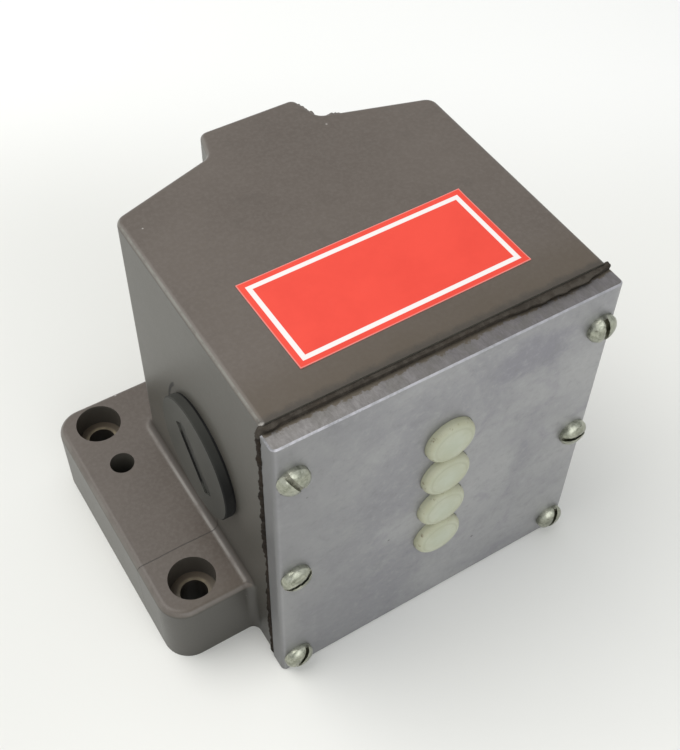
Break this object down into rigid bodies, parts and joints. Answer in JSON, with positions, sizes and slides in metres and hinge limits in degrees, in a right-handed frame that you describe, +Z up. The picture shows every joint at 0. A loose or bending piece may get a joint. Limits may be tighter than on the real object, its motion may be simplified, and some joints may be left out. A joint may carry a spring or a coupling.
{
  "type": "multiple limit switch",
  "caption": "Multiple limit switch: cast housing with a side flange and tapered nose, thick screwed cover plate and a row of spring-returned plungers, one per switch element.",
  "frame": {"origin": "on the mounting base, under the plunger row and midway between the two fixing holes", "axes": "+Z up from the base, -Y out of the cover plate towards what presses the plungers, +X to the right of someone facing the plate; the flange lies on the -X side"},
  "size_m": [0.1021, 0.0862, 0.0898],
  "materials": {
    "housing_enamel": "die casting under dark brown-grey enamel, rubbed at the edges",
    "plate_aluminium": "milled plate with a dull, stained face",
    "gasket_rubber": "matt",
    "zinc_screw_steel": "yellowed zinc plating",
    "plug_plastic": "smooth moulded",
    "seal_rubber": "matt",
    "plunger_plastic": "turned, waxy",
    "guide_plastic": "moulded",
    "case_plastic": "moulded thermoset",
    "contact_brass": "bright",
    "inner_steel": "zinc plated",
    "spring_steel": "drawn wire"
  },
  "bodies": {
    "switch_body": {"housing": "housing_enamel", "cover_plate": "plate_aluminium", "cover_gasket": "gasket_rubber", "cover_screws": "zinc_screw_steel", "cable_entry_plug": "plug_plastic", "plug_seal": "seal_rubber", "plunger_guide": "guide_plastic", "guide_screws": "inner_steel", "stem_seals": "seal_rubber", "element_lid": "case_plastic", "element_frame": "inner_steel", "frame_screws": "inner_steel", "stack_bolts": "inner_steel", "stack_nuts": "inner_steel", "terminal_screws": "contact_brass", "terminal_clamps": "contact_brass", "earth_screw": "contact_brass", "earth_clamp": "contact_brass", "switch_case_1": "case_plastic", "fixed_contacts_1": "contact_brass", "switch_case_2": "case_plastic", "fixed_contacts_2": "contact_brass", "switch_case_3": "case_plastic", "fixed_contacts_3": "contact_brass", "switch_case_4": "case_plastic", "fixed_contacts_4": "contact_brass"},
    "plunger_1": {"plunger_1": "plunger_plastic", "contact_carrier_1": "guide_plastic", "contact_bridge_1": "contact_brass", "return_spring_1": "spring_steel"},
    "plunger_2": {"plunger_2": "plunger_plastic", "contact_carrier_2": "guide_plastic", "contact_bridge_2": "contact_brass", "return_spring_2": "spring_steel"},
    "plunger_3": {"plunger_3": "plunger_plastic", "contact_carrier_3": "guide_plastic", "contact_bridge_3": "contact_brass", "return_spring_3": "spring_steel"},
    "plunger_4": {"plunger_4": "plunger_plastic", "contact_carrier_4": "guide_plastic", "contact_bridge_4": "contact_brass", "return_spring_4": "spring_steel"}
  },
  "joints": [
    {"name": "plunger_1_press", "type": "slide", "parent": "switch_body", "child": "plunger_1", "axis": [0, 1, 0], "range_m": [0, 0.003], "stiffness_N_per_m": 900, "springref_m": -0.004, "deforming": ["return_spring_1"]},
    {"name": "plunger_2_press", "type": "slide", "parent": "switch_body", "child": "plunger_2", "axis": [0, 1, 0], "range_m": [0, 0.003], "stiffness_N_per_m": 900, "springref_m": -0.004, "deforming": ["return_spring_2"]},
    {"name": "plunger_3_press", "type": "slide", "parent": "switch_body", "child": "plunger_3", "axis": [0, 1, 0], "range_m": [0, 0.003], "stiffness_N_per_m": 900, "springref_m": -0.004, "deforming": ["return_spring_3"]},
    {"name": "plunger_4_press", "type": "slide", "parent": "switch_body", "child": "plunger_4", "axis": [0, 1, 0], "range_m": [0, 0.003], "stiffness_N_per_m": 900, "springref_m": -0.004, "deforming": ["return_spring_4"]}
  ]
}
